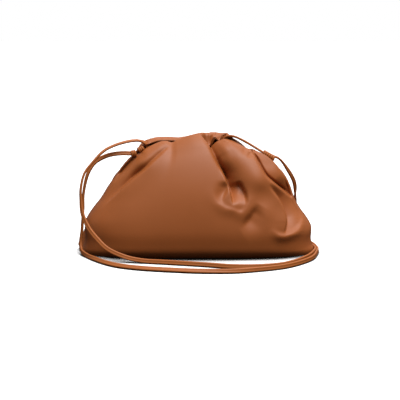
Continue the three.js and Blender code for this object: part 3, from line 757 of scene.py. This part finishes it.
def lace_line(rows):
    """Evenly spaced places and facings on a centripetal Catmull-Rom curve through a route's rows."""
    rows = np.array(rows, float)
    ends = np.vstack([2 * rows[0] - rows[1], rows, 2 * rows[-1] - rows[-2]])
    line = []
    for k in range(len(rows) - 1):
        p = ends[k:k + 4]
        t = np.concatenate([[0], np.cumsum(np.linalg.norm(np.diff(p[:, :3], axis=0), axis=1) ** 0.5)])
        u = np.linspace(t[1], t[2], CURVE_STEPS, endpoint=False)[:, None]
        a = [((t[i + 1] - u) * p[i] + (u - t[i]) * p[i + 1]) / (t[i + 1] - t[i]) for i in range(3)]
        b = [((t[i + 2] - u) * a[i] + (u - t[i]) * a[i + 1]) / (t[i + 2] - t[i]) for i in range(2)]
        line.append(((t[2] - u) * b[0] + (u - t[1]) * b[1]) / (t[2] - t[1]))
    line = np.vstack([*line, rows[-1:]])
    run = np.concatenate([[0], np.cumsum(np.linalg.norm(np.diff(line[:, :3], axis=0), axis=1))])
    even = np.linspace(0, run[-1], round(run[-1] / RING_STEP) + 1)
    return np.stack([np.interp(even, run, line[:, c]) for c in range(6)], 1), run[-1]


# %% Section of the lace
STRAP_WIDTH = 4.3
STRAP_THICKNESS = 2.3
SECTION_POINTS = 24
CORNER_POWER = 0.7  # 1 would be an ellipse, and 0 a box
GROOVE_DEPTH = 0.6
GROOVE_WIDE = 0.45


def lace_section():
    """The lace's rounded section, across its width and through its thickness, with a groove on each face."""
    turn = np.linspace(0, 2 * math.pi, SECTION_POINTS, endpoint=False)
    wide = np.sign(np.cos(turn)) * np.abs(np.cos(turn)) ** CORNER_POWER * STRAP_WIDTH / 2
    thick = np.sign(np.sin(turn)) * np.abs(np.sin(turn)) ** CORNER_POWER * STRAP_THICKNESS / 2
    groove = GROOVE_DEPTH * np.exp(-((wide / GROOVE_WIDE) ** 2)) * np.sign(thick)
    return np.stack([wide, thick - groove], 1)


# %% Drawing a strand
def ring_edges(work, ring):
    """The edges of a closed ring of vertices, the first one between its first two."""
    return [work.edges.get((a, b)) for a, b in zip(ring, ring[1:] + ring[:1])]


def leather_lace(name, route):
    """The strand, the centres of its rings and its length, in metres."""
    line, length = lace_line(route)
    places, facing = line[:, :3], line[:, 3:]
    along = np.gradient(places, axis=0)
    along /= np.linalg.norm(along, axis=1, keepdims=True)
    side = np.cross(along, facing)
    side /= np.linalg.norm(side, axis=1, keepdims=True)
    up = np.cross(side, along)
    section = lace_section()
    rings = places[:, None] + section[None, :, :1] * side[:, None] + section[None, :, 1:] * up[:, None]
    work = bmesh.new()
    ring = bmesh.ops.create_circle(work, segments=SECTION_POINTS, radius=1)["verts"]
    edges = ring_edges(work, ring)
    pattern = work.loops.layers.uv.new("lace")
    first = ring
    for vert, place in zip(ring, rings[0]):
        vert.co = place * MM
    for step in range(1, len(rings)):
        made = bmesh.ops.extrude_edge_only(work, edges=edges)["geom"]
        fresh = {v for v in made if isinstance(v, bmesh.types.BMVert)}
        ring = [next(e.other_vert(v) for e in v.link_edges if e.other_vert(v) in fresh) for v in ring]
        edges = ring_edges(work, ring)
        for vert, place in zip(ring, rings[step]):
            vert.co = place * MM
    for end in (first, ring):
        bmesh.ops.contextual_create(work, geom=ring_edges(work, end))
    bmesh.ops.recalc_face_normals(work, faces=work.faces[:])
    work.verts.index_update()
    for face in work.faces:
        face.smooth = len(face.verts) == 4
        # Texture places run round the lace and, in millimetres, along it
        closes = any(v.index % SECTION_POINTS > SECTION_POINTS // 2 for v in face.verts)
        for loop in face.loops:
            step, point = divmod(loop.vert.index, SECTION_POINTS)
            around = 1.0 if point == 0 and closes else point / SECTION_POINTS
            loop[pattern].uv = (around, step * RING_STEP)
    mesh = bpy.data.meshes.new(name)
    work.to_mesh(mesh)
    work.free()
    lace = bpy.data.objects.new(name, mesh)
    bpy.context.scene.collection.objects.link(lace)
    print(name, "length:", round(length), "mm, rings:", len(rings))
    return lace, places * MM, length * MM


# %% The three strands
strands = {}
for name, node, route in (
    ("lace_front", "strap_front", STRAP_FRONT),
    ("lace_rear", "strap_rear", STRAP_REAR),
    ("lace_tip", "strap_tip", STRAP_TIP),
):
    lace, centres, length = leather_lace(name, route)
    strands[name] = (lace, centres, length)
    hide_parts(node)
    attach(lace, "root")

# %% [markdown]
# ## The knots
# Each knot is the lace wound round itself. A flat section is spun round the knot's line and carried along it
# as it goes, which makes a coil, and a core inside it closes the middle. A grooved barrel would look the same
# from far off, but the coil shows its wraps in the outline too.

# %% Winding a knot
# Middle, direction, length, diameter and number of wraps
KNOTS = {
    "left_barrel_knot": ((-54.4, -1.9, 100), (1, 0.1, 0.45), 7, 5.6, 3),
    "left_stopper_knot": ((-61.2, -4.4, 96.2), (1, 0.06, 0.15), 5.6, 6.6, 3),
    "right_barrel_knot": ((68, 3.2, 92.8), (1, 0, -0.55), 13.5, 6.4, 5),
}
WRAP_THICK = 1.7
WRAP_SIDES = 14
COIL_STEPS = 30  # round one turn
END_SPACE = 0.9  # the share of a turn that the coil's own width takes up at its ends
OVERLAP = 0.52  # half a wrap's width as a share of the way from one to the next, so that the wraps touch
CORE_SIDES = 20
CORE_SHRINK = 0.98
CORE_LENGTH = 0.86
CORE_ROUND = 0.5


def wound_knot(name, at, along, length, diameter, wraps):
    """A coil of lace round a core that closes its middle."""
    pitch = length / (wraps + END_SPACE)
    radius = diameter / 2 - WRAP_THICK / 2
    work = bmesh.new()
    made = bmesh.ops.create_circle(work, segments=WRAP_SIDES, radius=1, cap_ends=True)
    for vert in made["verts"]:
        vert.co = (radius + vert.co.x * WRAP_THICK / 2, 0, -pitch * wraps / 2 + vert.co.y * pitch * OVERLAP)
    bmesh.ops.spin(work, geom=work.verts[:] + work.edges[:] + work.faces[:], cent=(0, 0, 0), axis=(0, 0, 1),
                   dvec=(0, 0, pitch / COIL_STEPS), angle=2 * math.pi * wraps, steps=COIL_STEPS * wraps,
                   use_merge=False)
    core = bmesh.ops.create_cone(work, cap_ends=True, segments=CORE_SIDES, radius1=radius * CORE_SHRINK,
                                 radius2=radius * CORE_SHRINK, depth=length * CORE_LENGTH)["verts"]
    rims = {e for v in core for e in v.link_edges if max(len(f.verts) for f in e.link_faces) > 4}
    bmesh.ops.bevel(work, geom=list(rims), affect="EDGES", offset=CORE_ROUND, segments=2, profile=0.5,
                    material=-1)
    bmesh.ops.recalc_face_normals(work, faces=work.faces[:])
    turn = Vector(along).to_track_quat("Z", "Y").to_matrix()
    for vert in work.verts:
        vert.co = (turn @ vert.co + Vector(at)) * MM
    for face in work.faces:
        face.smooth = True
    mesh = bpy.data.meshes.new(name)
    work.to_mesh(mesh)
    work.free()
    knot = bpy.data.objects.new(name, mesh)
    bpy.context.scene.collection.objects.link(knot)
    print(name, "faces:", len(mesh.polygons))
    return knot


# %% The three knots
knots = {}
for node, row in KNOTS.items():
    knot = wound_knot("wound_" + node, *row)
    knots[node] = knot
    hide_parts(node)
    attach(knot, "root")

# %% The strands' ends, listed but not used
# What each strand's far end is, and the knots that go with it
CORD_FACTS = {
    "lace_front": ("knot", ["right_barrel_knot"]),
    "lace_rear": ("knot", ["right_barrel_knot", "left_stopper_knot", "left_barrel_knot"]),
    "lace_tip": ("object", ["right_barrel_knot"]),
}
for name, (far_end, tied) in CORD_FACTS.items():
    lace, centres, length = strands[name]

# %% [markdown]
# ## Leather
# Soft tan calf leather with a satin finish. It has a very fine grain, a slightly uneven dye and broad soft
# highlights on the folds. The strap is cut from a slightly lighter piece. A picture of real leather could
# colour it too, but noise and grain from nodes fit any shape and any size.

# %% Calf leather
DYE_SCALE = 22.0  # patches about 45 mm wide, from a scale to the metre
GRAIN_MM = 0.9
GRAIN_HEIGHT_MM = 0.2


def calf_leather(name, dye, deep_dye):
    """The uneven dye gives the folds life, and the grain breaks up the soft gloss."""
    material, tree, shader = new_material(name)
    place = add_node(tree, "ShaderNodeTexCoord").outputs["Object"]
    cloudy = add_node(tree, "ShaderNodeTexNoise", inputs={"Scale": DYE_SCALE, "Detail": 3.0},
                      links={"Vector": place})
    tint = add_node(tree, "ShaderNodeMix", {"data_type": "RGBA"},
                    {FIRST: colour(dye), SECOND: colour(deep_dye)}, {"Factor": cloudy.outputs["Fac"]})
    tree.links.new(tint.outputs[MIXED], shader.inputs["Base Color"])
    grain = add_node(tree, "ShaderNodeTexVoronoi", inputs={"Scale": 1 / (GRAIN_MM * MM)},
                     links={"Vector": place})
    bump = add_node(tree, "ShaderNodeBump", inputs={"Strength": 0.12, "Distance": GRAIN_HEIGHT_MM * MM},
                    links={"Height": grain.outputs["Distance"]})
    tree.links.new(bump.outputs["Normal"], shader.inputs["Normal"])
    shader.inputs["Roughness"].default_value = 0.48
    shader.inputs["Specular IOR Level"].default_value = 0.33
    return material


bag_leather = calf_leather("bag_calf_leather", "a0582a", "935024")
for piece in (front, back):
    piece.data.materials.append(bag_leather)
strap_leather = calf_leather("strap_calf_leather", "a9612c", "9c5524")
for piece in [lace for lace, centres, length in strands.values()] + list(knots.values()):
    piece.data.materials.append(strap_leather)
